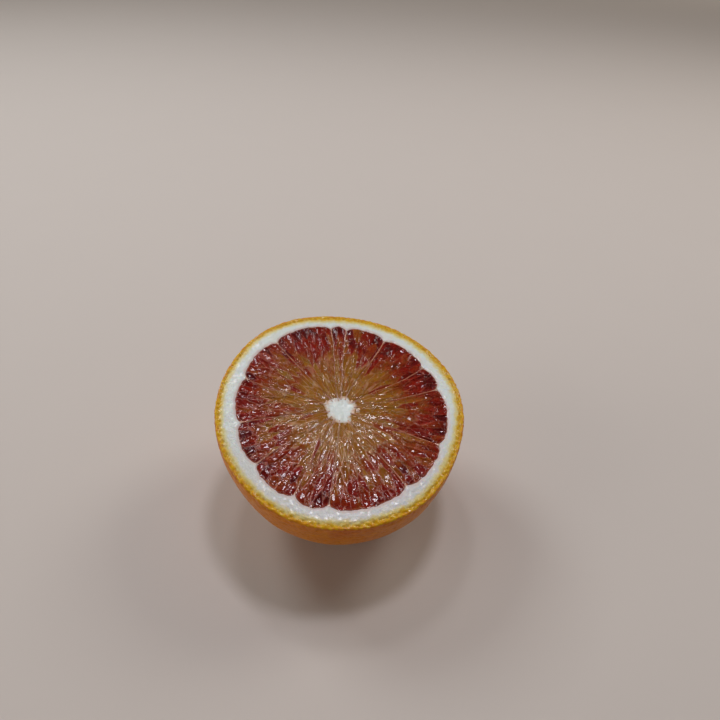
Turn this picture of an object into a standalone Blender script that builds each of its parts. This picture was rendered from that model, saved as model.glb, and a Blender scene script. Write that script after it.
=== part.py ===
"""Half of a blood orange, cut across and resting on its peel with the cut face up.

The half is shaped standing on its own axis, with the cut face at height 0. It is then
leaned as it lies, cut flat where it rests, and set with that spot on the ground.
"""

import math

import bmesh
import bpy
from mathutils import Matrix, Vector, noise

NODE_NAME = "orange_half"
MM = 0.001

# Outline of the cut face. A lobe is (count round the fruit, height, turn of one peak in degrees).
RIM_RADIUS = 38.0 * MM
RIM_LOBES = ((2, 0.15 * MM, 173), (3, 0.55 * MM, 21), (4, 0.2 * MM, 31), (6, 0.15 * MM, 8))
RIM_ROUNDING = 0.7 * MM
FLESH_RADIUS = 32.1 * MM
FLESH_LOBES = ((2, 0.25 * MM, 122), (3, 0.55 * MM, 10))
PITH_RISE = 0.15 * MM

# The core of white pith, where the segments meet, sits a little off the axis.
CORE_RADIUS = 4.6 * MM
CORE_LOBES = ((3, 0.4 * MM, 40), (5, 0.5 * MM, 12), (8, 0.3 * MM, 30))
CORE_OFFSET = Vector((-0.4 * MM, -0.8 * MM, 0))
CORE_DIP = 0.5 * MM

# Segments of flesh, by the turn in degrees of the membranes between them.
SEGMENT_EDGES = (16, 33, 63, 88, 98, 133, 164, 194, 221, 247, 265, 307, 339)
NOTCH_DEPTH = 1.2 * MM
MEMBRANE_DIP = 0.2 * MM
FLESH_DIP = 0.55 * MM
FLESH_SWELL = 0.75 * MM
CELL_RELIEF = 0.4 * MM
CELL_LENGTH = 6 * MM
CELL_WIDTH = 2.4 * MM

# The peel below the cut bulges to the fruit's widest ring, then closes to the blossom end.
# The cut is a little oblique, so that the body shifts sideways below it.
WIDEST_BELOW_CUT = 3.0 * MM
BLOSSOM_DEPTH = 39.5 * MM
BODY_SHIFT = Vector((0.4 * MM, -0.6 * MM, 0))
BODY_SHIFT_DEPTH = 15 * MM
PEEL_RELIEF = 0.25 * MM
PEEL_RELIEF_SIZE = 11 * MM
SCAR_RADIUS = 3.2 * MM
SCAR_DEPTH = 0.7 * MM

# How the half lies, in degrees, and the depth of the flat spot it rests on.
TURN_ON_AXIS = 3.0
LEAN = 11.6
LEAN_TOWARDS = -68.2
RESTING_DEPTH = 0.6 * MM

# Fineness of the surface.
DEGREES_PER_STEP = 3.0
FEWEST_STEPS = 5
CROWDING_AT_EDGES = 0.5
CORE_RINGS = 3
FLESH_RINGS = 16
PITH_RINGS = 4
RIM_RINGS = 2
PEEL_RINGS = 17
WELD = 0.001 * MM

# Linear colour, roughness and metallic value of what shows.
MATERIALS = {
    "peel": ((0.55, 0.22, 0.01), 0.4, 0.0),
    "pith": ((0.72, 0.66, 0.5), 0.55, 0.0),
    "flesh": ((0.32, 0.05, 0.025), 0.25, 0.0),
}


def lobed(radius, lobes, turn):
    """The radius at this turn of a round outline with uneven lobes."""
    return radius + sum(
        height * math.cos(count * (turn - math.radians(peak)))
        for count, height, peak in lobes
    )


def ease(share):
    """Rises smoothly from 0 to 1 as share does, and stays there."""
    share = min(1.0, max(0.0, share))
    return share * share * (3 - 2 * share)


def step_turns():
    """For each step round the fruit: its turn, and how far across its segment it lies, from 0 to 1.

    Steps crowd towards the membranes, and each membrane lies on a step.
    """
    turns = []
    following = SEGMENT_EDGES[1:] + (SEGMENT_EDGES[0] + 360,)
    for start, end in zip(SEGMENT_EDGES, following):
        count = max(FEWEST_STEPS, round((end - start) / DEGREES_PER_STEP))
        for step in range(count):
            share = step / count
            eased = 0.5 - 0.5 * math.cos(math.pi * share)
            across = share + CROWDING_AT_EDGES * (eased - share)
            turns.append((math.radians(start + across * (end - start)), across))
    turns.append((math.radians(SEGMENT_EDGES[0] + 360), 1.0))
    return turns


def cell_noise(turn, radius):
    """Unevenness of the juice cells, long towards the rim and narrow across, from -1 to 1."""
    round_fruit = FLESH_RADIUS / CELL_WIDTH
    place = Vector(
        (
            round_fruit * math.cos(turn),
            round_fruit * math.sin(turn),
            radius / CELL_LENGTH,
        )
    )
    return noise.noise(place)


def core_section(turn):
    """(radius, height) from the middle of the core to its edge."""
    edge = lobed(CORE_RADIUS, CORE_LOBES, turn)
    for ring in range(CORE_RINGS):
        share = ring / CORE_RINGS
        yield share * edge, -CORE_DIP * math.cos(share * math.pi / 2)


def flesh_section(turn, across):
    """(radius, height) from the core's edge to the pith: each segment swells between its membranes."""
    inner = lobed(CORE_RADIUS, CORE_LOBES, turn)
    swell_across = math.sqrt(math.sin(math.pi * across))
    notch = NOTCH_DEPTH * (1 - swell_across)
    outer = lobed(FLESH_RADIUS, FLESH_LOBES, turn) - notch
    on_membrane = across in (0.0, 1.0)
    for ring in range(FLESH_RINGS):
        share = ring / (FLESH_RINGS - 1)
        radius = inner + share * (outer - inner)
        if on_membrane:
            yield radius, -MEMBRANE_DIP
            continue
        swell = swell_across * math.sqrt(math.sin(math.pi * share))
        relief = CELL_RELIEF * cell_noise(turn, radius) * swell
        yield radius, -FLESH_DIP + FLESH_SWELL * swell + relief


def pith_section(turn, flesh_edge):
    """(radius, height) from the flesh to the rounded edge of the rim."""
    outer = lobed(RIM_RADIUS, RIM_LOBES, turn) - RIM_ROUNDING
    for ring in range(1, PITH_RINGS + 1):
        share = (ring / PITH_RINGS) ** 1.5
        rise = PITH_RISE * math.sin(math.pi * share)
        yield flesh_edge + share * (outer - flesh_edge), rise


def rim_section(turn):
    """(radius, height) of the rounding where the cut face meets the peel."""
    rim = lobed(RIM_RADIUS, RIM_LOBES, turn)
    for ring in range(1, RIM_RINGS + 1):
        angle = ring / RIM_RINGS * math.pi / 2
        inwards = RIM_ROUNDING * (1 - math.sin(angle))
        yield rim - inwards, -RIM_ROUNDING * (1 - math.cos(angle))


def peel_section(turn):
    """(radius, height) down the peel from the rim to the blossom end."""
    rim = lobed(RIM_RADIUS, RIM_LOBES, turn)
    start = math.asin((RIM_ROUNDING - WIDEST_BELOW_CUT) / BLOSSOM_DEPTH)
    widest = rim / math.cos(start)
    for ring in range(1, PEEL_RINGS + 1):
        angle = start + ring / PEEL_RINGS * (math.pi / 2 - start)
        radius = widest * math.cos(angle)
        height = -WIDEST_BELOW_CUT - BLOSSOM_DEPTH * math.sin(angle)
        in_scar = max(0.0, 1 - radius / SCAR_RADIUS)
        yield max(radius, 0.0), height + SCAR_DEPTH * in_scar


def section(turn, across):
    """(radius, height) of the whole outline at this turn, from the core round to the blossom end."""
    flesh = list(flesh_section(turn, across))
    flesh_edge = flesh[-1][0]
    return [
        *core_section(turn),
        *flesh,
        *pith_section(turn, flesh_edge),
        *rim_section(turn),
        *peel_section(turn),
    ]


def place_on_fruit(turn, radius, height):
    """The point at this turn, radius and height, moved with the core on the cut and with the body below it."""
    point = Vector((radius * math.cos(turn), radius * math.sin(turn), height))
    if height > -WIDEST_BELOW_CUT:
        point += CORE_OFFSET * max(0.0, 1 - radius / FLESH_RADIUS)
    return point + BODY_SHIFT * ease(-height / BODY_SHIFT_DEPTH)


def roughen_peel(mesh):
    """Moves the peel in and out a little along its normals, as on a hand-picked fruit."""
    mesh.normal_update()
    for vertex in mesh.verts:
        below = min(1.0, max(0.0, -vertex.co.z / WIDEST_BELOW_CUT - 1))
        bump = noise.noise(vertex.co / PEEL_RELIEF_SIZE) * PEEL_RELIEF * below
        vertex.co += vertex.normal * bump


def fruit_surface():
    """The closed surface of the half on its own axis, from a flat grid of steps and rings."""
    turns = step_turns()
    sections = [section(turn, across) for turn, across in turns]
    step_count = len(turns) - 1
    ring_count = len(sections[0]) - 1
    mesh = bmesh.new()
    bmesh.ops.create_grid(mesh, x_segments=step_count, y_segments=ring_count, size=0.5)
    first_peel_ring = len(sections[0]) - PEEL_RINGS - RIM_RINGS
    first_pith_ring = first_peel_ring - PITH_RINGS
    for face in mesh.faces:
        middle = (face.calc_center_median().y + 0.5) * ring_count
        if middle > first_peel_ring:
            face.material_index = 0
        elif middle > first_pith_ring or middle < CORE_RINGS:
            face.material_index = 1
        else:
            face.material_index = 2
    for vertex in mesh.verts:
        step = round((vertex.co.x + 0.5) * step_count)
        ring = round((vertex.co.y + 0.5) * ring_count)
        radius, height = sections[step][ring]
        vertex.co = place_on_fruit(turns[step][0], radius, height)
    bmesh.ops.remove_doubles(mesh, verts=mesh.verts, dist=WELD)
    bmesh.ops.recalc_face_normals(mesh, faces=mesh.faces)
    return mesh


def middle(mesh, axis):
    """Halfway between the least and the greatest place of the mesh along one axis."""
    places = [vertex.co[axis] for vertex in mesh.verts]
    return (min(places) + max(places)) / 2


def lay_down(mesh):
    """Leans the half as it lies and cuts the flat spot it rests on, at height 0."""
    turn = Matrix.Rotation(math.radians(TURN_ON_AXIS), 3, "Z")
    towards = math.radians(LEAN_TOWARDS)
    lean_axis = Vector((-math.sin(towards), math.cos(towards), 0))
    lean = Matrix.Rotation(math.radians(LEAN), 3, lean_axis)
    bmesh.ops.transform(mesh, matrix=(lean @ turn).to_4x4(), verts=mesh.verts)
    lowest = min(vertex.co.z for vertex in mesh.verts)
    cut = bmesh.ops.bisect_plane(
        mesh,
        geom=mesh.verts[:] + mesh.edges[:] + mesh.faces[:],
        plane_co=(0, 0, lowest + RESTING_DEPTH),
        plane_no=(0, 0, -1),
        clear_outer=True,
    )
    outline = [item for item in cut["geom_cut"] if isinstance(item, bmesh.types.BMEdge)]
    bmesh.ops.edgeloop_fill(mesh, edges=outline)
    to_ground = Vector((-middle(mesh, 0), -middle(mesh, 1), -lowest - RESTING_DEPTH))
    bmesh.ops.translate(mesh, vec=to_ground, verts=mesh.verts)
    bmesh.ops.recalc_face_normals(mesh, faces=mesh.faces)


def make_material(name):
    colour, roughness, metallic = MATERIALS[name]
    material = bpy.data.materials.new(name)
    material.use_nodes = True
    shader = material.node_tree.nodes["Principled BSDF"]
    shader.inputs["Base Color"].default_value = (*colour, 1)
    shader.inputs["Roughness"].default_value = roughness
    shader.inputs["Metallic"].default_value = metallic
    return material


def make_orange_half():
    surface = fruit_surface()
    roughen_peel(surface)
    lay_down(surface)
    mesh = bpy.data.meshes.new(NODE_NAME)
    surface.to_mesh(mesh)
    surface.free()
    for name in MATERIALS:
        mesh.materials.append(make_material(name))
    mesh.shade_smooth()
    half = bpy.data.objects.new(NODE_NAME, mesh)
    bpy.context.scene.collection.objects.link(half)
    return half


def main():
    for old in list(bpy.data.objects):
        bpy.data.objects.remove(old)
    make_orange_half()


main()
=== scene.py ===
"""The looks of a blood orange half: peel, pith, membranes and juice cells on the cut face.

The fruit is shaped on its own axis with the cut face at height 0, in metres, and then leaned and
set down so that it fills the box of the CAD solid. A turn is an angle round the fruit's axis, and
a radius is a distance from it.
"""

import math

import bmesh
import bpy
import numpy as np
from bpy.props import FloatProperty, FloatVectorProperty, PointerProperty
from mathutils import Matrix, Vector, kdtree, noise


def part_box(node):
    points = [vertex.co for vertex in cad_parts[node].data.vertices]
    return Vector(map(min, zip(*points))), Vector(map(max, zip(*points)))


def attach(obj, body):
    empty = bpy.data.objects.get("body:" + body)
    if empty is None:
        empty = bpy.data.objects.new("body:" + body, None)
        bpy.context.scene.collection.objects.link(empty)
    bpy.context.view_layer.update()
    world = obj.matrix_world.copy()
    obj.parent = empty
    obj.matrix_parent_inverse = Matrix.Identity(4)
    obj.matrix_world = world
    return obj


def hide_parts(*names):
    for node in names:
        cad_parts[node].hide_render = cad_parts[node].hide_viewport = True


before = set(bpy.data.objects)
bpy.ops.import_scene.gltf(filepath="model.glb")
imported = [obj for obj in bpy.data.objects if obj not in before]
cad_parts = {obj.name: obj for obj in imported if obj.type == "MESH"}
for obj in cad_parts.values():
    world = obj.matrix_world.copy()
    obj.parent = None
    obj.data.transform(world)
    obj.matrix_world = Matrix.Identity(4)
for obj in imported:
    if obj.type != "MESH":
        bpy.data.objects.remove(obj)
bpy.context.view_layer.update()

bl_info = {
    "name": "Blood Orange Half",
    "version": (1, 0, 0),
    "blender": (4, 5, 0),
    "location": "View3D > Sidebar > Orange",
    "description": "Models the peel, pith, membranes and juice cells of half a blood orange",
    "category": "Object",
}

MM = 0.001
NODE = "orange_half"
BODY = "root"
LOWEST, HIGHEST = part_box(NODE)
SEED = 11

# Outline of the cut face. A lobe is (count round the fruit, height, turn of one peak in degrees).
RIM_LOBES = ((2, 0.15 * MM, 173), (3, 0.55 * MM, 21), (4, 0.2 * MM, 31), (6, 0.15 * MM, 8))
FLESH_LOBES = ((2, 0.25 * MM, 122), (3, 0.55 * MM, 10))
FLESH_RIPPLES = ((23, 0.07 * MM, 5), (59, 0.06 * MM, 2), (83, 0.05 * MM, 6))
CORE_LOBES = ((3, 0.4 * MM, 40), (5, 0.3 * MM, 12), (8, 0.2 * MM, 30))
CORE_OFFSET = Vector((-0.4 * MM, -0.8 * MM, 0))
BODY_SHIFT = Vector((0.4 * MM, -0.6 * MM, 0))
BODY_SHIFT_DEPTH = 15 * MM
SEGMENT_BULGE = 0.35 * MM

# Segments of flesh: the turn in degrees of the membrane where each begins, and how far out
# from the core, as a share of its length, amber gives way to crimson.
SEGMENTS = (
    (16, 0.47),
    (33, 0.44),
    (63, 0.42),
    (88, 0.46),
    (98, 0.46),
    (133, 0.50),
    (164, 0.54),
    (194, 0.55),
    (221, 0.50),
    (247, 0.50),
    (265, 0.56),
    (307, 0.52),
    (339, 0.50),
)

# Rings of juice cells in a segment, from the outside in:
# (distance of their middles from the pith, length, width), all in metres.
CELL_RINGS = (
    (2.6 * MM, 7.5 * MM, 2.7 * MM),
    (7.4 * MM, 9.5 * MM, 2.6 * MM),
    (12.6 * MM, 10.5 * MM, 2.2 * MM),
    (17.8 * MM, 10.0 * MM, 1.8 * MM),
    (22.8 * MM, 8.5 * MM, 1.3 * MM),
)

# How uneven juice cells are: (least, most) place in a row, and share of the usual width and length.
# They lie up to CELL_SHIFT millimetres further out or in, tilt by some degrees, and crowd each other.
CELL_PLACES = (0.2, 0.8)
CELL_WIDTHS = (0.8, 1.25)
CELL_LENGTHS = (0.75, 1.3)
CELL_SHIFT = 1.5
CELL_TILT = 7
CELL_OVERLAP = 0.66
CELL_PUSH = 0.12

# Form of a juice cell, whose stem is narrower than its body.
STEM_WIDTH = 0.45
STEM_LENGTH = 1.2
EDGE_SLOPE = 0.36
SHOULDER = 0.28 * MM
SKIN_WIDTH = 0.14 * MM
ARCH_LEVEL = 0.6
PUSH_OF_WHOLE = 0.6 * MM
PUSH_OF_OPEN = 0.5 * MM
CELL_GRAIN = 0.07 * MM
CUT_LEVEL = 0.1 * MM

# Form of a segment's cut: it dips, by a depth over a width, and levels off towards the pith.
# RIPENING is how fast amber gives way to crimson.
RELIEF_AT_CORE = 0.35
SIDE_DIP = (0.06 * MM, 0.3 * MM)
CORE_DIP = (0.3 * MM, 1.5 * MM)
LEVELLING = 0.75
LEVEL_FROM = 1.2 * MM
LEVEL_OVER = 0.9 * MM
PITH_DROP = (0.3 * MM, 0.25 * MM)
RIPENING = 2

# How pieces meet. A lift is how high a piece's underside lies over the bed of pith.
FLESH_OVERLAP = 0.3 * MM
MEMBRANE_GAP = 0.1 * MM
MEMBRANE_INTO_CORE = 0.8 * MM
MEMBRANE_INTO_PITH = 0.9 * MM
SEGMENT_LIFT = 0.3 * MM
MEMBRANE_LIFT = 0.1 * MM
CORE_LIFT = 0.2 * MM

# Outline of a membrane's section: (how far to the side, how far up), as shares.
MEMBRANE_SECTION = ((-1, 0), (-1, 0.94), (-0.5, 1), (0.5, 1), (1, 0.94), (1, 0), (-1, 0))

# The bed of pith under the flesh, as shares of the way out and up, and the ring of cut pith.
BED_FLOOR = (0.0, 0.35, 0.7, 0.97)
BED_WALL = (0.4, 0.8, 0.94)
BED_WALL_LEAN = 0.05 * MM
PITH_START = 0.1 * MM
PITH_RISE = 0.05 * MM
PITH_DIP = 0.12 * MM
PITH_DIP_WIDTH = 0.08

# Relief of the rind: (height, width of its bumps). A level sinks bumps, to stay in the solid's box.
# Below the share SMOOTH_BED of its depth the bed of pith stays smooth.
PITH_GRAIN = (0.06 * MM, 0.9 * MM)
PITH_WAVES = (0.07 * MM, 3.5 * MM)
PITH_SINK = 0.05 * MM
PITH_FROM_EDGE = 0.3 * MM
KNOB_WIDTH = 1.2 * MM
KNOB_LEVEL = 0.4
RELIEF_LEVEL = 0.5
PORE_STEEPNESS = 1.5
SMOOTH_BED = 0.8

# Oil glands: shares of the pores' spacing, and for depths of the coloured band.
PORE_JITTER = 0.22
GLAND_SPACING = 0.8
GLAND_JITTER = 0.25
GLAND_DEPTHS = (0.4, 0.8)

# Fineness of the meshes.
RIND_STEPS = 590
PITH_RINGS = 22
CORNER_RINGS = 5
SKIN_RINGS = 130
SKIN_CROWDING = 1.05
MEMBRANE_POINTS = 70
CORE_STEPS = 180
CORE_RINGS = 25
OUTLINE_STEPS = 720
OUTLINE_RINGS = 60
FLOOR_STEPS = 96
FLOOR_BENDS = 11
WELD = 0.002 * MM
SHARP_ANGLE = math.radians(70)

# Distance from the axis at which a stretched pattern has its stated width.
PATTERN_RADIUS = 30 * MM

# Lights: name, place from the middle of the rim, width and tint. StageLook holds their power.
LIGHTS = (
    ("key", (0.10, 0.19, 0.9), 0.125, (0.93, 0.91, 1.0)),
    ("back", (-0.14, 0.40, 0.83), 0.11, (0.95, 0.93, 1.0)),
    ("left", (-0.6, 0.5, 0.7), 0.35, (0.93, 0.97, 1.0)),
    ("low", (-0.9, -0.25, 0.3), 0.5, (1.0, 0.95, 0.9)),
    ("right", (0.6, 0.45, 0.65), 0.35, (1.0, 0.97, 0.93)),
)


def length(name, description, millimetres):
    """A size that a user can change."""
    return FloatProperty(name=name, description=description, default=millimetres * MM, unit="LENGTH")


def angle(name, description, degrees):
    """An angle that a user can change."""
    return FloatProperty(
        name=name, description=description, default=math.radians(degrees), subtype="ANGLE"
    )


def share(name, description, default):
    """A number from 0 to 1 that a user can change."""
    return FloatProperty(name=name, description=description, default=default, min=0, max=1)


def colour(name, description, red, green, blue):
    """A linear colour that a user can change."""
    return FloatVectorProperty(
        name=name, description=description, default=(red, green, blue), min=0, max=1, subtype="COLOR"
    )


def power(name, description, watts):
    """The power of a light that a user can change."""
    return FloatProperty(name=name, description=description, default=watts, min=0, unit="POWER")


class FruitSizes(bpy.types.PropertyGroup):
    """Sizes of the fruit and how it lies."""

    rim_radius: length("Rim radius", "Mean radius of the cut face, peel included", 38.0)
    rim_rounding: length("Rim rounding", "Radius of the edge between cut face and peel", 0.7)
    flesh_radius: length("Flesh radius", "Mean radius of the flesh on the cut face", 32.1)
    core_radius: length("Core radius", "Mean radius of the white core", 4.6)
    notch_width: length("Notch width", "Width of the pith that reaches in between two segments", 1.1)
    notch_depth: length("Notch depth", "How far the pith reaches in between two segments", 1.5)
    widest_below_cut: length("Widest below cut", "Depth of the fruit's widest ring", 3.0)
    blossom_depth: length("Blossom depth", "From the widest ring to the blossom end", 39.5)
    scar_radius: length("Scar radius", "Radius of the dimple at the blossom end", 3.2)
    scar_depth: length("Scar depth", "Depth of the dimple at the blossom end", 0.7)
    bed_depth: length("Bed depth", "How far the pith's floor lies under the cut face", 2.6)
    lean: angle("Lean", "How far the cut face leans from level", 11.6)
    lean_towards: angle("Lean towards", "The way that the cut face looks, round from +X", -68.2)
    turn_on_axis: angle("Turn on axis", "How far the fruit is turned on its own axis", 3.0)


class PeelLook(bpy.types.PropertyGroup):
    """Relief and colours of peel, pith and core."""

    relief: length("Relief", "Height of the peel's broad unevenness", 0.25)
    relief_size: length("Relief size", "Width of the peel's broad unevenness", 11.0)
    pore_spacing: length("Pore spacing", "Distance between the oil glands of the peel", 1.5)
    pore_radius: length("Pore radius", "Radius of the dimple over an oil gland", 0.62)
    pore_depth: length("Pore depth", "Depth of the dimple over an oil gland", 0.26)
    knobs: length("Knobs", "Height of the small bumps along the rim", 0.2)
    band: length("Coloured band", "Thickness of the coloured outer peel on the cut face", 2.0)
    skin: colour("Skin", "Orange of the peel", 0.66, 0.205, 0.002)
    blush: colour("Blush", "Red-orange patches on the peel", 0.55, 0.10, 0.005)
    cut_band: colour("Cut band", "Golden yellow of the cut outer peel", 0.70, 0.41, 0.003)
    pith: colour("Pith", "White of the pith", 0.785, 0.845, 0.80)
    pore: colour("Pore", "Peel over an oil gland", 0.40, 0.085, 0.003)
    mottle: colour("Mottle", "Light flecks of the peel", 0.80, 0.32, 0.008)
    cut_gland: colour("Cut gland", "Oil glands in the cut band", 0.52, 0.24, 0.003)
    cut_pore: colour("Cut pore", "Hollows of the cut band", 0.48, 0.20, 0.002)
    cut_edge: colour("Cut edge", "Outermost part of the cut band", 0.62, 0.22, 0.003)
    # Painted shade: a darker pith for the fruit's front side, where less light falls.
    pith_painted_shade: colour("Pith in front", "Pith on the fruit's front side", 0.69, 0.685, 0.67)
    pith_cream: colour("Cream", "Cream patches on the pith", 0.72, 0.68, 0.58)
    pith_juice: colour("Juice", "Pith stained by the flesh beside it", 0.70, 0.46, 0.42)
    pith_yellow: colour("Yellow", "Pith beside the coloured band", 0.77, 0.63, 0.18)
    core_stain: colour("Core stain", "Edge of the core, stained by juice", 0.58, 0.27, 0.09)


class FleshLook(bpy.types.PropertyGroup):
    """Relief and colours of juice cells, and colours of membranes."""

    fineness: length("Fineness", "Distance between the points of the flesh's surface", 0.15)
    swell: length("Swell", "Height of a whole juice cell over its edges", 0.36)
    sink: length("Sink", "Depth of a juice cell that the cut opened", 0.2)
    ridge: length("Ridge", "Height of the skin that stands up between two juice cells", 0.12)
    open_cells: share("Open cells", "Share of the juice cells that the cut opened", 0.5)
    amber: colour("Amber", "Flesh near the core", 0.30, 0.115, 0.006)
    rust: colour("Rust", "Flesh between amber and crimson", 0.28, 0.045, 0.006)
    crimson: colour("Crimson", "Flesh near the pith", 0.245, 0.009, 0.003)
    wine: colour("Wine", "Darkest juice cells", 0.08, 0.001, 0.002)
    skin: colour("Cell skin", "Pale skin between juice cells near the core", 0.80, 0.52, 0.34)
    outer_skin: colour("Outer cell skin", "Skin between juice cells near the pith", 0.62, 0.19, 0.09)
    # Painted highlight: pinkish-white skin lines that stand in for glints on the wet cells at the front
    # left.
    painted_glint_skin: colour("Front cell skin", "The same, at the front left", 0.72, 0.36, 0.30)
    fibre: colour("Fibre", "Light fibres in the amber flesh", 0.45, 0.21, 0.035)
    at_pith: colour("Flesh at pith", "Flesh where it meets the pith", 0.42, 0.13, 0.07)
    membrane: colour("Membrane", "Membranes between segments", 0.56, 0.21, 0.10)
    membrane_stain: colour("Membrane stain", "Juice on the membranes", 0.40, 0.10, 0.045)
    membrane_end: colour("Membrane end", "Membranes at core and pith", 0.74, 0.66, 0.56)


class StageLook(bpy.types.PropertyGroup):
    """Camera, floor and lights."""

    focal_length: FloatProperty(
        name="Focal length", description="Lens of the camera", default=27.05, unit="CAMERA"
    )
    camera_from_rim: FloatVectorProperty(
        name="Camera place",
        description="Camera's place from the middle of the rim",
        default=(4.74 * MM, -113.43 * MM, 120.82 * MM),
        subtype="TRANSLATION",
        unit="LENGTH",
    )
    camera_pitch: angle("Camera pitch", "How far the camera looks down", 41.74)
    camera_roll: angle("Camera roll", "How far the camera is tilted sideways", 3.29)
    floor_size: length("Floor size", "Width of the floor", 6000)
    floor: colour("Floor", "Pale floor", 0.62, 0.565, 0.515)
    floor_grain: colour("Floor grain", "Darker patches of the floor", 0.58, 0.52, 0.47)
    glow_front: colour("Front glow", "Glow of the far floor in front", 0.07, 0.062, 0.055)
    glow_back: colour("Back glow", "Glow of the far floor at the back", 0.30, 0.265, 0.23)
    glow_high: colour("High glow", "Glow high on the wall", 0.05, 0.045, 0.04)
    key_power: power("Key power", "Light from high above", 1.9)
    back_power: power("Back power", "Small light from high at the back", 0.8)
    left_power: power("Left power", "Soft light from the left", 3.1)
    right_power: power("Right power", "Soft light from the right", 2.3)
    low_power: power("Low power", "Low light from the left", 1.8)
    sky: FloatProperty(name="Sky", description="Strength of the light from all round", default=0.3)
    sky_colour: colour("Sky colour", "Tint of the light from all round", 1.0, 0.9, 0.82)


def ease(value):
    """Rises smoothly from 0 to 1 as value does, and stays there."""
    value = np.clip(value, 0.0, 1.0)
    return value * value * (3 - 2 * value)


def bell(distance, width):
    """1 at distance 0, falling off to nothing over a few widths."""
    return np.exp(-((distance / width) ** 2))


def polar_grid(steps, rings):
    """Turns right round the fruit and shares from 0 to 1, for a grid of that many steps and rings."""
    return np.meshgrid(np.linspace(0, math.tau, steps + 1), np.linspace(0, 1, rings + 1))


def lobed(radius, lobes, turn):
    """The radius at each turn of a round outline with uneven lobes."""
    for count, height, peak in lobes:
        radius = radius + height * np.cos(count * (turn - math.radians(peak)))
    return radius


def rough(points, size, seed=0):
    """Smooth noise from -1 to 1 at each point, whose bumps are about size across."""
    shift = Vector((seed * 17.3, seed * 5.1, seed * 11.7))
    return np.array([noise.noise(Vector(point) / size + shift) for point in points])


def segment_edges():
    """Turns of the membranes, with the first one again at the end, a full turn on."""
    starts = [math.radians(start) for start, _ in SEGMENTS]
    return np.array([*starts, starts[0] + math.tau])


def across_segment(turn):
    """How far across its segment each turn lies, from 0 to 1."""
    edges = segment_edges()
    turned = (turn - edges[0]) % math.tau + edges[0]
    index = np.clip(np.searchsorted(edges, turned, side="right") - 1, 0, len(SEGMENTS) - 1)
    return (turned - edges[index]) / (edges[index + 1] - edges[index])


def rim_edge(fruit, turn):
    """Radius of the cut face, peel included."""
    return lobed(fruit.rim_radius, RIM_LOBES, turn)


def core_edge(fruit, turn):
    """Radius where the core meets the flesh."""
    return lobed(fruit.core_radius, CORE_LOBES, turn)


def flesh_edge(fruit, turn):
    """Radius where the flesh meets the pith, notched at each membrane."""
    turn = np.asarray(turn)
    outline = lobed(fruit.flesh_radius, FLESH_LOBES + FLESH_RIPPLES, turn)
    across = across_segment(turn)
    bulge = SEGMENT_BULGE * np.sin(math.pi * across)
    from_membranes = (turn[..., None] - segment_edges() + math.pi) % math.tau - math.pi
    to_membrane = fruit.flesh_radius * np.abs(from_membranes)
    notch = fruit.notch_depth * np.exp(-to_membrane.min(axis=-1) / fruit.notch_width)
    return outline + bulge - notch


def membrane_turn(fruit, index, radius):
    """Turn of a membrane at each radius: it wanders a little on its way out from the core."""
    wander = np.random.default_rng(SEED + index % len(SEGMENTS)).uniform(-0.6, 0.6, 2) * MM
    way = np.clip(radius / fruit.flesh_radius, 0.0, 1.0)
    sideways = wander[0] * np.sin(math.pi * way) + wander[1] * np.sin(math.tau * way)
    return segment_edges()[index] + sideways / np.maximum(radius, fruit.core_radius)


def places(fruit, turn, radius, height):
    """Points at these turns, radii and heights, moved with the core on the cut and the body below."""
    turn, radius, height = np.broadcast_arrays(turn, radius, height)
    points = np.stack((radius * np.cos(turn), radius * np.sin(turn), height), axis=-1)
    on_cut = height > -fruit.widest_below_cut
    to_core = np.clip(1 - radius / fruit.flesh_radius, 0.0, 1.0) * on_cut
    below = ease(-height / BODY_SHIFT_DEPTH)
    return points + to_core[..., None] * CORE_OFFSET + below[..., None] * BODY_SHIFT


def skin_section(fruit, turn, shares):
    """(radius, height) down the peel from the rounded rim, at share 0, to the blossom end, at 1."""
    start = math.asin((fruit.rim_rounding - fruit.widest_below_cut) / fruit.blossom_depth)
    down = start + shares * (math.pi / 2 - start)
    radius = rim_edge(fruit, turn) / math.cos(start) * np.cos(down)
    in_scar = np.clip(1 - radius / fruit.scar_radius, 0.0, 1.0)
    height = -fruit.widest_below_cut - fruit.blossom_depth * np.sin(down)
    return radius, height + fruit.scar_depth * in_scar


def to_row(fruit):
    """The matrix that leans the fruit as it lies and sets it down in the box of the CAD solid."""
    towards = fruit.lean_towards
    lean_axis = Vector((-math.sin(towards), math.cos(towards), 0))
    turned = Matrix.Rotation(fruit.turn_on_axis, 4, "Z")
    leaned = Matrix.Rotation(fruit.lean, 4, lean_axis) @ turned
    turn, shares = polar_grid(OUTLINE_STEPS, OUTLINE_RINGS)
    outline = places(fruit, turn, *skin_section(fruit, turn, shares)).reshape(-1, 3)
    outline = outline @ np.array(leaned.to_3x3()).T
    lowest, highest = outline.min(axis=0), outline.max(axis=0)
    rim = places(fruit, turn[0], rim_edge(fruit, turn[0]) - fruit.rim_rounding, 0.0)
    top = (rim @ np.array(leaned.to_3x3()).T)[:, 2].max()
    middle = (LOWEST + HIGHEST) / 2
    to_place = Vector((
        middle.x - (lowest[0] + highest[0]) / 2,
        middle.y - (lowest[1] + highest[1]) / 2,
        HIGHEST.z - max(top, highest[2]),
    ))
    return Matrix.Translation(to_place) @ leaned


def grid(points, layers=()):
    """A bmesh grid with its vertices moved to points, an array of rows x columns x 3.

    Each layer is (name, rows x columns values), kept on the vertices for the materials to read.
    """
    rows, columns = points.shape[:2]
    shape = bmesh.new()
    bmesh.ops.create_grid(shape, x_segments=columns - 1, y_segments=rows - 1, size=0.5)
    kept = [(shape.verts.layers.float.new(name), values) for name, values in layers]
    for vertex in shape.verts:
        column = round((vertex.co.x + 0.5) * (columns - 1))
        row = round((vertex.co.y + 0.5) * (rows - 1))
        vertex.co = points[row, column]
        for layer, values in kept:
            vertex[layer] = values[row, column]
    return shape


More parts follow.
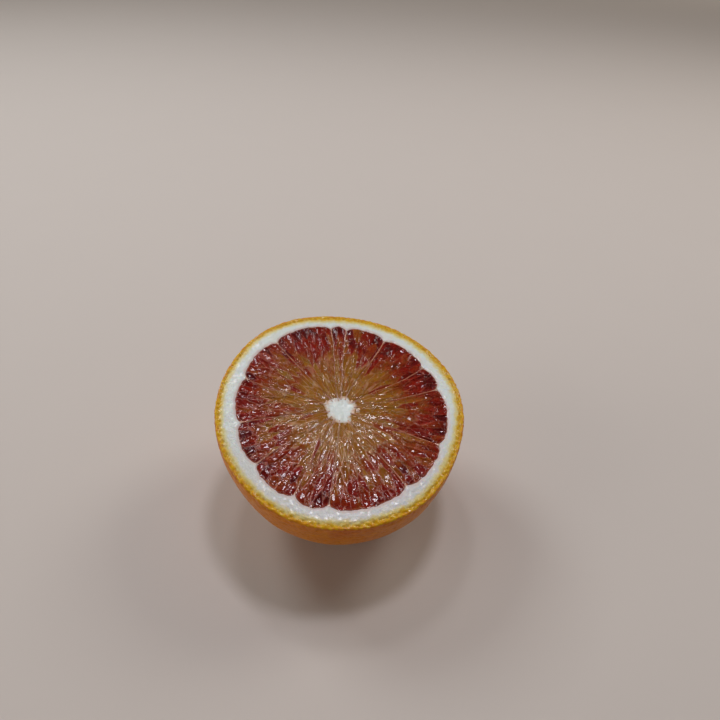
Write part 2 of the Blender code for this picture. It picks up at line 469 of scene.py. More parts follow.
def weld(shape):
    """Closes seams and poles and turns the faces outwards."""
    bmesh.ops.remove_doubles(shape, verts=shape.verts, dist=WELD)
    bmesh.ops.recalc_face_normals(shape, faces=shape.faces)


def close_below(shape, depth):
    """Makes a solid of an open surface: its outline goes down to depth and is filled there."""
    outline = [edge for edge in shape.edges if edge.is_boundary]
    made = bmesh.ops.extrude_edge_only(shape, edges=outline)["geom"]
    for vertex in made:
        if isinstance(vertex, bmesh.types.BMVert):
            vertex.co.z = depth
    below = [edge for edge in made if isinstance(edge, bmesh.types.BMEdge) and edge.is_boundary]
    bmesh.ops.holes_fill(shape, edges=below, sides=0)
    bmesh.ops.recalc_face_normals(shape, faces=shape.faces)


def new_mesh(name, shape):
    """The mesh of a finished shape, shaded smooth."""
    mesh = bpy.data.meshes.new(name)
    shape.to_mesh(mesh)
    shape.free()
    mesh.shade_smooth()
    return mesh


def new_object(name, data):
    """An object in the scene with this mesh, light or camera."""
    made = bpy.data.objects.new(name, data)
    bpy.context.scene.collection.objects.link(made)
    return made


def piece(name, shape, fruit, material):
    """The finished object of a shape on the fruit's axis: laid down, shaded and riding on the body."""
    bmesh.ops.transform(shape, matrix=to_row(fruit), verts=shape.verts)
    mesh = new_mesh(name, shape)
    mesh.set_sharp_from_angle(angle=SHARP_ANGLE)
    mesh.materials.append(material)
    made = new_object(name, mesh)
    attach(made, BODY)
    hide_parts(NODE)


class Signal:
    """A number that varies over a surface. Arithmetic on it adds Math nodes to its finish."""

    def __init__(self, finish, socket):
        self.finish = finish
        self.socket = socket

    def __add__(self, other):
        return self.finish.math("ADD", self, other)

    def __sub__(self, other):
        return self.finish.math("SUBTRACT", self, other)

    def __rsub__(self, other):
        return self.finish.math("SUBTRACT", other, self)

    def __mul__(self, other):
        return self.finish.math("MULTIPLY", self, other)

    def __truediv__(self, other):
        return self.finish.math("DIVIDE", self, other)

    def __rtruediv__(self, other):
        return self.finish.math("DIVIDE", other, self)

    __radd__ = __add__
    __rmul__ = __mul__

    def between(self, low, high):
        """0 below low, 1 above high and smooth between. With low above high it falls instead."""
        made = self.finish.node(
            "ShaderNodeMapRange",
            {"interpolation_type": "SMOOTHSTEP"},
            {"Value": self, "From Min": low, "From Max": high},
        )
        return Signal(self.finish, made.outputs["Result"])


class Nodes:
    """The nodes of a material or of the sky."""

    def __init__(self, owner):
        owner.use_nodes = True
        self.tree = owner.node_tree

    def node(self, kind, settings=None, inputs=None):
        """A node of this type, with its settings and then its inputs set or linked."""
        made = self.tree.nodes.new(kind)
        for setting, value in (settings or {}).items():
            setattr(made, setting, value)
        for socket, value in (inputs or {}).items():
            self.feed(made.inputs[socket], value)
        return made

    def feed(self, socket, value):
        """Links a signal or a socket to this socket, or sets the socket to a plain value."""
        if isinstance(value, Signal):
            value = value.socket
        if isinstance(value, bpy.types.NodeSocket):
            self.tree.links.new(value, socket)
        elif hasattr(value, "__len__") and len(value) == 3 and socket.type == "RGBA":
            socket.default_value = (*value, 1)
        else:
            socket.default_value = value

    def math(self, operation, *values):
        """The result of this operation on one or two signals or numbers."""
        made = self.node("ShaderNodeMath", {"operation": operation}, dict(enumerate(values)))
        return Signal(self, made.outputs[0])

    def attribute(self, name):
        """A number kept on the vertices under this name."""
        made = self.node("ShaderNodeAttribute", {"attribute_name": name})
        return Signal(self, made.outputs["Fac"])

    def place(self):
        """The point's place in the object, as a vector."""
        return self.node("ShaderNodeTexCoord").outputs["Object"]

    def part(self, vector, axis):
        """The X, Y or Z of a vector."""
        made = self.node("ShaderNodeSeparateXYZ", inputs={"Vector": vector})
        return Signal(self, made.outputs[axis])

    def towards(self, right, back):
        """How far the point lies this way in the object, in metres: to the right and to the back."""
        place = self.place()
        return self.part(place, "X") * right + self.part(place, "Y") * back

    def stretched(self, turn, radius, width, long):
        """A place in which noise of size 1 is width wide across the fruit and long along a radius."""
        round_fruit = PATTERN_RADIUS / width
        across = self.node(
            "ShaderNodeCombineXYZ",
            inputs={
                "X": self.math("COSINE", turn) * round_fruit,
                "Y": self.math("SINE", turn) * round_fruit,
                "Z": radius / long,
            },
        )
        return across.outputs["Vector"]

    def noise(self, scale, detail=3.0, roughness=0.55, vector=None, warp=0.0):
        """Noise from 0 to 1, about 0.5, with scale bumps to a metre, or to a unit of a vector given."""
        made = self.node(
            "ShaderNodeTexNoise",
            inputs={
                "Vector": vector or self.place(),
                "Scale": scale,
                "Detail": detail,
                "Roughness": roughness,
                "Distortion": warp,
            },
        )
        return Signal(self, made.outputs["Fac"])

    def cells(self, scale, feature="F1", vector=None):
        """Distance from the middles, or with another feature from the edges, of random cells."""
        made = self.node(
            "ShaderNodeTexVoronoi",
            {"feature": feature},
            {"Vector": vector or self.place(), "Scale": scale},
        )
        return Signal(self, made.outputs["Distance"])

    def mix(self, amount, first, second):
        """The colour first where amount is 0 and second where it is 1."""
        made = self.node(
            "ShaderNodeMix", {"data_type": "RGBA"}, {0: amount, 6: first, 7: second}
        )
        return made.outputs[2]


class Finish(Nodes):
    """A material of one Principled BSDF and the nodes that feed it."""

    def __init__(self, name, **constants):
        self.material = bpy.data.materials.new(name)
        super().__init__(self.material)
        self.shader = self.tree.nodes["Principled BSDF"]
        for socket, value in constants.items():
            self.shader.inputs[socket.replace("_", " ")].default_value = value

    def colour(self, value):
        self.feed(self.shader.inputs["Base Color"], value)

    def roughness(self, value):
        self.feed(self.shader.inputs["Roughness"], value)

    def coat(self, value):
        self.feed(self.shader.inputs["Coat Weight"], value)

    def bump(self, height, depth):
        """Fine relief: height runs from 0 to 1 over depth in metres."""
        made = self.node("ShaderNodeBump", inputs={"Height": height, "Distance": depth, "Strength": 1})
        self.feed(self.shader.inputs["Normal"], made.outputs["Normal"])


def rind_material(look):
    """Orange skin with pores, the golden cut edge of the peel and the white pith, by depth, with
    painted shade on the pith in front.
    """
    finish = Finish(
        "rind",
        Subsurface_Weight=0.3,
        Subsurface_Radius=(1.0, 0.6, 0.3),
        Subsurface_Scale=1.2 * MM,
        Specular_IOR_Level=0.15,
        Coat_Roughness=0.2,
        Coat_IOR=1.38,
    )
    inward = finish.attribute("inward") / MM
    pores = finish.attribute("pore")
    patches = finish.noise(45, 4)
    mottle = finish.noise(420, 3)
    skin = finish.mix(patches.between(0.52, 0.72) * 0.5, look.skin, look.blush)
    skin = finish.mix(pores * 0.6, skin, look.pore)
    skin = finish.mix(mottle.between(0.45, 0.7) * 0.45, skin, look.mottle)
    glands = finish.cells(720).between(0.36, 0.2)
    band = finish.mix(glands * 0.4, look.cut_band, look.cut_gland)
    band = finish.mix(pores * 0.5, band, look.cut_pore)
    dots = finish.noise(700, 1.5).between(0.42, 0.58)
    band = finish.mix(inward.between(1.5, 0.3) * dots * 0.8, band, look.cut_edge)
    coarse = finish.noise(480, 2)
    jagged = inward + (coarse - 0.5) * 1.8 + (finish.noise(1500, 2) - 0.5) * 0.9
    back_right = finish.towards(1.0, 0.6).between(-30 * MM, 34 * MM)
    jagged = jagged + (finish.noise(90, 2) - 0.5) * 1.3 - (back_right - 0.5) * 0.7
    width = look.band / MM
    # Painted shade: the pith turns darker towards the fruit's front side.
    front_shade = finish.towards(0.2, -1.0).between(-5 * MM, 32 * MM)
    pith = finish.mix(front_shade, look.pith, look.pith_painted_shade)
    pith = finish.mix(finish.noise(300, 4).between(0.45, 0.75) * 0.3, pith, look.pith_cream)
    from_flesh = finish.attribute("from_flesh") / MM + (coarse - 0.5) * 1.2
    pith = finish.mix(from_flesh.between(1.3, 0.1) * 0.6, pith, look.pith_juice)
    pith = finish.mix(jagged.between(width + 1.7, width + 0.2) * 0.85, pith, look.pith_yellow)
    cut = finish.mix(jagged.between(width + 0.5, width - 0.6), pith, band)
    finish.colour(finish.mix(inward.between(0.02, 0.1), skin, cut))
    on_cut = inward.between(0.05, 0.3)
    wet = finish.noise(650, 2).between(0.5, 0.62)
    on_band = on_cut * inward.between(3.2, 2.0)
    finish.roughness(0.45 + on_cut * 0.1 + (mottle - 0.5) * 0.15)
    finish.coat(0.3 + on_cut * (wet * 0.7 - 0.1) + on_band * 0.15)
    sponge = finish.noise(1500, 4, 0.6) * on_cut
    pits = finish.cells(950).between(0.1, 0.5) * 0.35 + finish.noise(1700, 2) * 0.2
    finish.bump(sponge + pits * (1 - on_cut), 0.22 * MM)
    return finish.material


def flesh_material(look):
    """Wet juice cells, amber at the core and crimson to wine outside, with pale cell skin between,
    partly painted highlights at the front left.
    """
    finish = Finish(
        "flesh",
        Subsurface_Weight=0.85,
        Subsurface_Radius=(1.0, 0.35, 0.15),
        Subsurface_Scale=1.6 * MM,
        Specular_IOR_Level=0.05,
        Coat_Weight=0.6,
        Coat_Roughness=0.07,
        Coat_IOR=1.36,
    )
    turn = finish.attribute("turn")
    radius = finish.attribute("radius")
    outside = radius.between(11 * MM, 20 * MM)
    inner_fibres = finish.noise(1.0, 1, 0.5, finish.stretched(turn, radius, 3.2 * MM, 7 * MM), 0.6)
    outer_fibres = finish.noise(1.0, 1, 0.5, finish.stretched(turn, radius, 1.7 * MM, 7 * MM), 0.4)
    fibres = inner_fibres * (1 - outside) + outer_fibres * outside
    patches = finish.noise(170, 1.5)
    tone = finish.attribute("tone")
    base = finish.attribute("ripe")
    ripe = base + tone * 0.3 + (fibres - 0.5) * 1.0 + (patches - 0.5) * 1.6
    juice = finish.mix(fibres.between(0.35, 0.7) * 0.6, look.amber, look.fibre)
    juice = finish.mix(ripe.between(-0.5, 0.45), juice, look.rust)
    juice = finish.mix(ripe.between(0.15, 0.85), juice, look.crimson)
    dark = tone * base.between(0.2, 0.9) * 0.4 + (finish.noise(240, 1.5) - 0.5) * 2.1 + base * 0.85
    juice = finish.mix(dark.between(0.45, 1.25) * 0.85, juice, look.wine)
    juice = finish.mix(dark.between(0.4, -0.5) * base.between(0.1, 0.7) * 0.6, juice, look.rust)
    edge = finish.attribute("edge") / MM
    fade = finish.noise(420, 3)
    curl_turn = turn + (finish.noise(560, 2) - 0.5) * 3.6 * MM / radius
    curl_radius = radius + (finish.noise(640, 2) - 0.5) * 4.0 * MM
    inner_curls = finish.stretched(curl_turn, curl_radius, 4.2 * MM, 3.4 * MM)
    outer_curls = finish.stretched(curl_turn, curl_radius, 1.9 * MM, 2.4 * MM)
    inner_loops = finish.cells(1.0, "DISTANCE_TO_EDGE", inner_curls) * 1.8
    outer_loops = finish.cells(1.0, "DISTANCE_TO_EDGE", outer_curls)
    loops = inner_loops * (1 - outside) + outer_loops * outside
    ridges = loops.between(0.17, 0.0) * fade.between(0.36, 0.48)
    loops = loops.between(0.11, 0.01) * fade.between(0.46, 0.55)
    # Painted highlights: the pale skin lines and loops are partly real cell skin and partly glints,
    # painted stronger and pinker at the front left.
    painted_glint_side = finish.towards(-0.6, -1.0).between(-28 * MM, 18 * MM)
    outlines = edge.between(0.2, 0.03) * fade.between(0.58, 0.44) * (0.45 + outside * 0.15)
    skins_and_painted_glints = outlines + loops * (0.3 + painted_glint_side * 0.65)
    skins_and_painted_glints = skins_and_painted_glints * (0.5 + base.between(0.4, -0.5) * 0.3) * (0.6 + painted_glint_side * 0.5)
    outer_skin = finish.mix(painted_glint_side, look.outer_skin, look.painted_glint_skin)
    skin = finish.mix(base.between(-0.3, 0.6), look.skin, outer_skin)
    juice = finish.mix(skins_and_painted_glints, juice, skin)
    to_pith = finish.attribute("to_pith") / MM + (fade - 0.5) * 0.6
    finish.colour(finish.mix(to_pith.between(0.75, 0.3) * 0.6, juice, look.at_pith))
    finish.roughness(0.3 + skins_and_painted_glints * 0.2)
    finish.bump(ridges + finish.noise(1000, 2, 0.5) * 0.25, 0.26 * MM)
    return finish.material


def membrane_material(look):
    """Thin skin between two segments, tinted by the juice, and white where it leaves the core."""
    finish = Finish(
        "membrane",
        Subsurface_Weight=0.4,
        Subsurface_Radius=(1.0, 0.5, 0.3),
        Subsurface_Scale=1.0 * MM,
        Coat_Weight=0.8,
        Coat_Roughness=0.1,
    )
    stain = finish.noise(260, 3)
    tinted = finish.mix(stain.between(0.35, 0.65), look.membrane, look.membrane_stain)
    finish.colour(finish.mix(finish.attribute("pale"), tinted, look.membrane_end))
    finish.roughness(0.35 + stain * 0.2)
    finish.bump(finish.noise(1800, 2), 0.06 * MM)
    return finish.material


def core_material(look):
    """White spongy pith of the core, stained at its edge."""
    finish = Finish(
        "core",
        Subsurface_Weight=0.4,
        Subsurface_Radius=(1.0, 0.7, 0.5),
        Subsurface_Scale=1.2 * MM,
        Coat_Weight=0.4,
        Coat_Roughness=0.2,
    )
    stain = finish.attribute("reach") + (finish.noise(600, 2) - 0.5) * 0.8
    finish.colour(finish.mix(stain.between(0.55, 1.0) * 0.9, look.pith, look.core_stain))
    finish.roughness(0.45 + finish.noise(600, 2) * 0.2)
    finish.bump(finish.noise(1600, 4, 0.6), 0.2 * MM)
    return finish.material


def pore_places(fruit, look):
    """Middles of the oil glands: spread evenly over the peel, each a little out of place."""
    area = math.tau * fruit.rim_radius * (fruit.blossom_depth + fruit.widest_below_cut)
    count = int(area / (look.pore_spacing**2 * math.sqrt(3) / 2))
    number = np.arange(count)
    random = np.random.default_rng(SEED)
    jitter = random.normal(0, PORE_JITTER * look.pore_spacing, (count, 3))
    depth = (number + 0.5) / count * (fruit.blossom_depth + fruit.widest_below_cut)
    down = np.arcsin(np.clip((depth - fruit.widest_below_cut) / fruit.blossom_depth, -1, 1))
    golden_turns = number * math.pi * (3 - math.sqrt(5))
    radius = rim_edge(fruit, golden_turns) * np.cos(down)
    return places(fruit, golden_turns, radius, -depth) + jitter


def gland_places(fruit, look):
    """Middles of the oil glands that the cut laid open in the coloured band."""
    random = np.random.default_rng(SEED + 1)
    turn = np.arange(0, math.tau, GLAND_SPACING * look.pore_spacing / fruit.rim_radius)
    turn = turn + random.normal(0, GLAND_JITTER * look.pore_spacing, len(turn)) / fruit.rim_radius
    inward = look.band * random.uniform(*GLAND_DEPTHS, len(turn))
    return places(fruit, turn, rim_edge(fruit, turn) - inward, 0.0)


def make_rind(fruit, look):
    """Peel and pith as one bowl: a floor under the flesh, the cut ring, the rim and the skin."""
    turn = np.linspace(0, math.tau, RIND_STEPS + 1)
    rim = rim_edge(fruit, turn)
    flesh = flesh_edge(fruit, turn)
    rings = [(flesh * reach, -fruit.bed_depth) for reach in BED_FLOOR]
    rings += [(flesh + BED_WALL_LEAN * up, -fruit.bed_depth * (1 - up)) for up in BED_WALL]
    for ring in range(1, PITH_RINGS + 1):
        way = ring / PITH_RINGS
        rise = PITH_RISE * np.sin(math.pi * way) - PITH_DIP * bell(way, PITH_DIP_WIDTH)
        width = rim - fruit.rim_rounding - flesh - PITH_START
        rings.append((flesh + PITH_START + way * width, rise))
    for corner in np.linspace(0, math.pi / 2, CORNER_RINGS + 1)[1:]:
        inwards = fruit.rim_rounding * (1 - math.sin(corner))
        rings.append((rim - inwards, -fruit.rim_rounding * (1 - math.cos(corner))))
    cut_rings = len(rings)
    for ring in range(1, SKIN_RINGS + 1):
        rings.append(skin_section(fruit, turn, (ring / SKIN_RINGS) ** SKIN_CROWDING))
    radius, height = (
        np.array([np.broadcast_to(ring[axis], turn.shape) for ring in rings]) for axis in (0, 1)
    )
    inward = np.where(np.arange(len(rings))[:, None] < cut_rings, rim - radius, 0.0)
    layers = [("inward", inward), ("from_flesh", radius - flesh), ("pore", 0 * inward)]
    shape = grid(places(fruit, turn, radius, height), layers)
    weld(shape)
    roughen_rind(shape, fruit, look)
    return shape


def roughen_rind(shape, fruit, look):
    """Broad unevenness and pores on the skin, knobs along the rim, and sponginess on the cut pith."""
    inward = shape.verts.layers.float["inward"]
    pore = shape.verts.layers.float["pore"]
    middles = np.concatenate((pore_places(fruit, look), gland_places(fruit, look)))
    tree = kdtree.KDTree(len(middles))
    for number, middle in enumerate(middles):
        tree.insert(middle, number)
    tree.balance()
    shape.normal_update()
    for vertex in shape.verts:
        depth = vertex[inward]
        if vertex.co.z < -SMOOTH_BED * fruit.bed_depth and depth > fruit.rim_rounding:
            continue
        below = min(1.0, max(0.0, -vertex.co.z / fruit.widest_below_cut - 1))
        bump = (noise.noise(vertex.co / look.relief_size) - RELIEF_LEVEL) * look.relief * below
        _, _, away = tree.find(vertex.co)
        vertex[pore] = max(0.0, 1 - away / look.pore_radius)
        bump -= look.pore_depth * min(1.0, PORE_STEEPNESS * vertex[pore]) ** 2
        if depth > PITH_FROM_EDGE:
            for bump_height, bump_width in (PITH_GRAIN, PITH_WAVES):
                bump += bump_height * noise.noise(vertex.co / bump_width)
            bump -= PITH_SINK
        if depth < look.band and vertex.co.z > -look.band:
            bump += look.knobs * (noise.noise(vertex.co / KNOB_WIDTH) - KNOB_LEVEL)
        vertex.co += vertex.normal * bump


def set_on_ground(shape, fruit):
    """Cuts the flat spot that the fruit rests on, level with the floor, and fills it."""
    matrix = to_row(fruit).inverted()
    cut = bmesh.ops.bisect_plane(
        shape,
        geom=shape.verts[:] + shape.edges[:] + shape.faces[:],
        plane_co=matrix @ Vector((0, 0, LOWEST.z)),
        plane_no=matrix.to_3x3() @ Vector((0, 0, -1)),
        clear_outer=True,
    )
    outline = [item for item in cut["geom_cut"] if isinstance(item, bmesh.types.BMEdge)]
    bmesh.ops.edgeloop_fill(shape, edges=outline)
    bmesh.ops.recalc_face_normals(shape, faces=shape.faces)


def juice_cells(fruit, look, index):
    """The juice cells of a segment on the cut, as arrays: middle, way out, half sizes and kind."""
    random = np.random.default_rng(SEED + 100 + index)
    edges = segment_edges()
    middle_turn = (edges[index] + edges[index + 1]) / 2
    found = []
    for ring, (depth, long, wide) in enumerate(CELL_RINGS):
        radius = flesh_edge(fruit, middle_turn) - depth
        if radius < fruit.core_radius:
            continue
        left = membrane_turn(fruit, index, radius)
        right = membrane_turn(fruit, index + 1, radius)
        count = max(2, round(radius * (right - left) / wide))
        for number in range(-1, count + 1):
            sideways = (number + 0.5 * (ring % 2) + random.uniform(*CELL_PLACES)) / count
            turn = left + sideways * (right - left)
            out = radius + random.uniform(-CELL_SHIFT, CELL_SHIFT) * MM
            tilt = turn + math.radians(random.normal(0, CELL_TILT))
            half_width = CELL_OVERLAP * radius * (right - left) / count * random.uniform(*CELL_WIDTHS)
            found.append((
                out * math.cos(turn),
                out * math.sin(turn),
                math.cos(tilt),
                math.sin(tilt),
                0.5 * long * random.uniform(*CELL_LENGTHS),
                half_width,
                random.normal(0, 1),
                random.random() < look.open_cells,
                random.uniform(-CELL_PUSH, CELL_PUSH),
            ))
    return np.array(found).T


def cell_relief(look, x, y, cells):
    """For points on the cut: height, distance to the edge of their juice cell, and the cell's tone."""
    middle_x, middle_y, out_x, out_y, half_length, half_width, tone, opened, push = cells
    from_x = x[:, None] - middle_x
    from_y = y[:, None] - middle_y
    along = (from_x * out_x + from_y * out_y) / half_length
    aside = (from_y * out_x - from_x * out_y) / half_width
    taper = STEM_WIDTH + (1 - STEM_WIDTH) * ease((along + 1) / STEM_LENGTH)
    inside = 1 - np.abs(along) ** 3 - (aside / taper) ** 2 + push
    rows = np.arange(len(x))
    owner = inside.argmax(axis=1)
    best = inside[rows, owner].copy()
    inside[rows, owner] = -np.inf
    edge = EDGE_SLOPE * half_width[owner] * np.clip(best - inside.max(axis=1), 0, 4)
    body = 1 - bell(edge, SHOULDER)
    flat = np.stack((x, y, 0 * x), axis=-1)
    standing = np.clip(0.45 + 1.6 * rough(flat, 3 * MM, seed=5), 0, 1)
    arch = np.clip(best, 0, 1)
    whole = look.swell * (arch - ARCH_LEVEL) + PUSH_OF_WHOLE * push[owner] * body
    sunk = -look.sink * arch * body + PUSH_OF_OPEN * push[owner] * body
    height = np.where(opened[owner] == 1, sunk, whole)
    height += look.ridge * standing * bell(edge, SKIN_WIDTH)
    height += CELL_GRAIN * rough(flat, 1.2 * MM, seed=6) - CUT_LEVEL
    return height, edge, tone[owner]


def make_segment(fruit, look, index):
    """One segment of flesh: its cut surface of juice cells, with a closed body under it."""
    edges = segment_edges()
    widest = fruit.flesh_radius * (edges[index + 1] - edges[index])
    columns = max(12, round(widest / look.fineness))
    rows = round((fruit.flesh_radius - fruit.core_radius) / look.fineness)
    across, reach = np.meshgrid(np.linspace(0, 1, columns), np.linspace(0, 1, rows))
    straight = edges[index] + across * (edges[index + 1] - edges[index])
    inner = core_edge(fruit, straight) - FLESH_OVERLAP
    tiny = 1e-6
    outer = flesh_edge(fruit, np.clip(straight, edges[index] + tiny, edges[index + 1] - tiny))
    outer = outer + FLESH_OVERLAP
    radius = inner + reach * (outer - inner)
    gap = MEMBRANE_GAP / radius
    left = membrane_turn(fruit, index, radius) + gap
    right = membrane_turn(fruit, index + 1, radius) - gap
    turn = left + across * (right - left)
    x, y = radius * np.cos(turn), radius * np.sin(turn)
    cells = juice_cells(fruit, look, index)
    height, edge, tone = cell_relief(look, x.ravel(), y.ravel(), cells)
    height, edge, tone = (values.reshape(radius.shape) for values in (height, edge, tone))
    height *= RELIEF_AT_CORE + (1 - RELIEF_AT_CORE) * ease((reach - 0.15) / 0.55)
    to_side = np.minimum(across, 1 - across) * (right - left) * radius
    to_core = reach * (outer - inner)
    to_pith = (1 - reach) * (outer - inner)
    for distance, (dip_depth, dip_width) in ((to_side, SIDE_DIP), (to_core, CORE_DIP)):
        height -= dip_depth * bell(distance, dip_width)
    level = LEVELLING * ease((LEVEL_FROM - to_pith) / LEVEL_OVER)
    height = (1 - level) * height - level * CUT_LEVEL
    height -= PITH_DROP[0] * ease(1 - to_pith / PITH_DROP[1])
    layers = [
        ("turn", turn),
        ("radius", radius),
        ("edge", edge),
        ("tone", tone),
        ("ripe", (reach - SEGMENTS[index][1]) * RIPENING),
        ("to_pith", to_pith),
    ]
    shape = grid(places(fruit, turn, radius, height), layers)
    close_below(shape, -fruit.bed_depth + SEGMENT_LIFT)
    return shape


def membrane_form(way, index):
    """Half the thickness and the top of a membrane, which flares at both ends and rises in waves."""
    half = (0.15 + 0.06 * way + 0.4 * way**40 + 0.1 * (1 - way) ** 14) * MM
    top = (-0.2 + 0.14 * way + 0.07 * np.sin(way * 40 + index)) * MM
    return half, top


def make_membranes(fruit):
    """The walls between the segments, each from the core out into the pith."""
    joined = bmesh.new()
    way = np.linspace(0, 1, MEMBRANE_POINTS)[:, None]
    side, up = np.array(MEMBRANE_SECTION).T[:, None, :]
    bottom = -fruit.bed_depth + MEMBRANE_LIFT
    for index in range(len(SEGMENTS)):
        turn = segment_edges()[index]
        start = core_edge(fruit, turn) - MEMBRANE_INTO_CORE
        end = flesh_edge(fruit, turn) + MEMBRANE_INTO_PITH
        radius = start + way * (end - start)
        half, top = membrane_form(way, index)
        height = bottom + up * (top + fruit.bed_depth - MEMBRANE_LIFT)
        across = membrane_turn(fruit, index, radius) + side * half / radius
        radius = np.broadcast_to(radius, across.shape)
        pale = 0.4 * ease((way - 0.92) / 0.08) + 0.4 * ease((0.1 - way) / 0.1) + 0 * across
        wall = grid(places(fruit, across, radius, height), [("pale", pale)])
        weld(wall)
        bmesh.ops.holes_fill(wall, edges=[edge for edge in wall.edges if edge.is_boundary], sides=0)
        bmesh.ops.recalc_face_normals(wall, faces=wall.faces)
        mesh = new_mesh("wall", wall)
        joined.from_mesh(mesh)
        bpy.data.meshes.remove(mesh)
    return joined


def make_core(fruit):
    """The spongy core: an uneven star whose points run out along the membranes."""
    turn, reach = polar_grid(CORE_STEPS, CORE_RINGS)
    to_membrane = np.minimum(across_segment(turn), 1 - across_segment(turn))
    edge = core_edge(fruit, turn) + 0.25 * MM * bell(to_membrane, 0.2) + 0.6 * MM
    radius = reach * edge
    height = -0.45 * MM + 0.2 * MM * reach**2 - 0.35 * MM * ease((reach - 0.86) / 0.14)
    points = places(fruit, turn, radius, height)
    flat = points.reshape(-1, 3)
    lumps = rough(flat, 1.3 * MM, seed=3) + 0.5 * rough(flat, 0.6 * MM, seed=4)
    points[..., 2] += 0.12 * MM * lumps.reshape(reach.shape)
    shape = grid(points, [("reach", reach)])
    weld(shape)
    close_below(shape, -fruit.bed_depth + CORE_LIFT)
    return shape


class ORANGE_OT_rind(bpy.types.Operator):
    """Make the peel and pith"""

    bl_idname = "orange.rind"
    bl_label = "Peel and pith"

    def execute(self, context):
        scene = context.scene
        shape = make_rind(scene.fruit_sizes, scene.peel_look)
        set_on_ground(shape, scene.fruit_sizes)
        piece("rind", shape, scene.fruit_sizes, rind_material(scene.peel_look))
        return {"FINISHED"}


class ORANGE_OT_segments(bpy.types.Operator):
    """Make the segments of flesh with their juice cells"""

    bl_idname = "orange.segments"
    bl_label = "Segments of flesh"

    def execute(self, context):
        scene = context.scene
        material = flesh_material(scene.flesh_look)
        for index in range(len(SEGMENTS)):
            shape = make_segment(scene.fruit_sizes, scene.flesh_look, index)
            piece(f"segment_{index + 1:02d}", shape, scene.fruit_sizes, material)
        return {"FINISHED"}


class ORANGE_OT_membranes(bpy.types.Operator):
    """Make the membranes between the segments"""

    bl_idname = "orange.membranes"
    bl_label = "Membranes"

    def execute(self, context):
        scene = context.scene
        shape = make_membranes(scene.fruit_sizes)
        piece("membranes", shape, scene.fruit_sizes, membrane_material(scene.flesh_look))
        return {"FINISHED"}


class ORANGE_OT_core(bpy.types.Operator):
    """Make the white core"""

    bl_idname = "orange.core"
    bl_label = "Core"

    def execute(self, context):
        scene = context.scene
        piece("core", make_core(scene.fruit_sizes), scene.fruit_sizes, core_material(scene.peel_look))
        return {"FINISHED"}


def add_light(name, place, target, size, power, tint):
    """A square area light that looks at target."""
    light = bpy.data.lights.new(name, "AREA")
    light.size = size
    light.energy = power
    light.color = tint
    lamp = new_object(name, light)
    lamp.location = place
    lamp.rotation_euler = (target - place).to_track_quat("-Z", "Y").to_euler()


def make_sky(look):
    """Soft light from all round, weak overhead so that the wet flesh stays deep."""
    world = bpy.data.worlds.new("studio")
    sky = Nodes(world)
    direction = sky.node("ShaderNodeTexCoord").outputs["Generated"]
    strength = 1 - sky.part(direction, "Z").between(0.0, 0.8) * 0.9
    background = sky.tree.nodes["Background"]
    sky.feed(background.inputs["Color"], look.sky_colour)
    sky.feed(background.inputs["Strength"], strength * look.sky)
    return world


def make_floor(look):
    """A pale floor that sweeps up into a pale wall all round, dimmer in front of the fruit."""
    shape = bmesh.new()
    reach = look.floor_size / 2
    bend = look.floor_size / 6
    profile = [(0.0, 0.0), (reach - bend, 0.0)]
    profile += [
        (reach - bend + bend * math.sin(corner), bend - bend * math.cos(corner))
        for corner in np.linspace(0, math.pi / 2, FLOOR_BENDS + 1)[1:]
    ]
    profile.append((reach, 0.8 * reach))
    verts = [shape.verts.new((across, 0, LOWEST.z + up)) for across, up in profile]
    edges = [shape.edges.new(pair) for pair in zip(verts, verts[1:])]
    around = {"axis": (0, 0, 1), "angle": math.tau, "steps": FLOOR_STEPS, "use_merge": True}
    bmesh.ops.spin(shape, geom=verts + edges, **around)
    weld(shape)
    if sum(face.normal.z for face in shape.faces) < 0:
        bmesh.ops.reverse_faces(shape, faces=shape.faces)
    mesh = new_mesh("floor", shape)
    mesh.materials.append(floor_material(look))
    new_object("floor", mesh)


def floor_material(look):
    """Plain pale paint. Far from the fruit it glows a little, as if lit by more lamps."""
    finish = Finish("floor", Roughness=0.75, Emission_Strength=1.0)
    grain = finish.noise(25, 3)
    finish.colour(finish.mix(grain.between(0.3, 0.7) * 0.06, look.floor, look.floor_grain))
    place = finish.place()
    away = finish.node("ShaderNodeVectorMath", {"operation": "LENGTH"}, {0: place})
    far = Signal(finish, away.outputs["Value"]).between(0.6, 2.4)
    behind = finish.part(place, "Y").between(-2.2, 0.4)
    high = finish.part(place, "Z").between(0.2, 1.8)
    glow = finish.mix(behind, look.glow_front, look.glow_back)
    glow = finish.mix(high, glow, look.glow_high)
    finish.feed(finish.shader.inputs["Emission Color"], finish.mix(far, (0, 0, 0), glow))
    finish.material.cycles.emission_sampling = "NONE"
    return finish.material


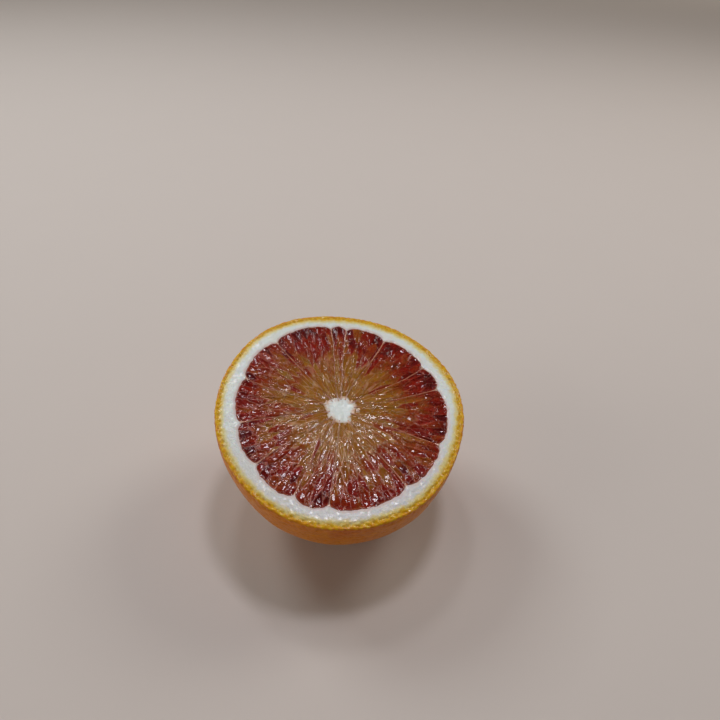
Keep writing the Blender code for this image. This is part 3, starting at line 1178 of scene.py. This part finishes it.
def add_camera(scene, look, rim):
    """The camera, placed from the middle of the rim."""
    lens = bpy.data.cameras.new("camera")
    lens.lens = look.focal_length
    lens.clip_start = 1 * MM
    camera = new_object("camera", lens)
    pitch = Matrix.Rotation(math.pi / 2 - look.camera_pitch, 4, "X")
    place = Matrix.Translation(rim + Vector(look.camera_from_rim))
    camera.matrix_world = place @ pitch @ Matrix.Rotation(look.camera_roll, 4, "Z")
    scene.camera = camera


class ORANGE_OT_stage(bpy.types.Operator):
    """Set up the floor, the lights and the camera"""

    bl_idname = "orange.stage"
    bl_label = "Stage"

    def execute(self, context):
        scene = context.scene
        look = scene.stage_look
        rim = to_row(scene.fruit_sizes).translation
        make_floor(look)
        for name, from_rim, width, tint in LIGHTS:
            watts = getattr(look, f"{name}_power")
            add_light(name, rim + Vector(from_rim), rim, width, watts, tint)
        scene.world = make_sky(look)
        add_camera(scene, look, rim)
        scene.view_settings.view_transform = "Standard"
        return {"FINISHED"}


class ORANGE_PT_panel(bpy.types.Panel):
    """Lists the pieces of the orange and their settings"""

    bl_label = "Blood orange half"
    bl_idname = "ORANGE_PT_panel"
    bl_space_type = "VIEW_3D"
    bl_region_type = "UI"
    bl_category = "Orange"

    def draw(self, context):
        for operator in OPERATORS:
            self.layout.operator(operator.bl_idname)
        for name, group in GROUPS.items():
            box = self.layout.box()
            for setting in group.__annotations__:
                box.prop(getattr(context.scene, name), setting)


OPERATORS = (
    ORANGE_OT_rind,
    ORANGE_OT_segments,
    ORANGE_OT_membranes,
    ORANGE_OT_core,
    ORANGE_OT_stage,
)
GROUPS = {
    "fruit_sizes": FruitSizes,
    "peel_look": PeelLook,
    "flesh_look": FleshLook,
    "stage_look": StageLook,
}


def register():
    for name, group in GROUPS.items():
        bpy.utils.register_class(group)
        setattr(bpy.types.Scene, name, PointerProperty(type=group))
    for shown in (*OPERATORS, ORANGE_PT_panel):
        bpy.utils.register_class(shown)


def unregister():
    for shown in (ORANGE_PT_panel, *reversed(OPERATORS)):
        bpy.utils.unregister_class(shown)
    for name, group in reversed(GROUPS.items()):
        delattr(bpy.types.Scene, name)
        bpy.utils.unregister_class(group)


def main():
    register()
    bpy.ops.orange.stage()
    bpy.ops.orange.rind()
    bpy.ops.orange.segments()
    bpy.ops.orange.membranes()
    bpy.ops.orange.core()


if __name__ == "__main__":
    main()
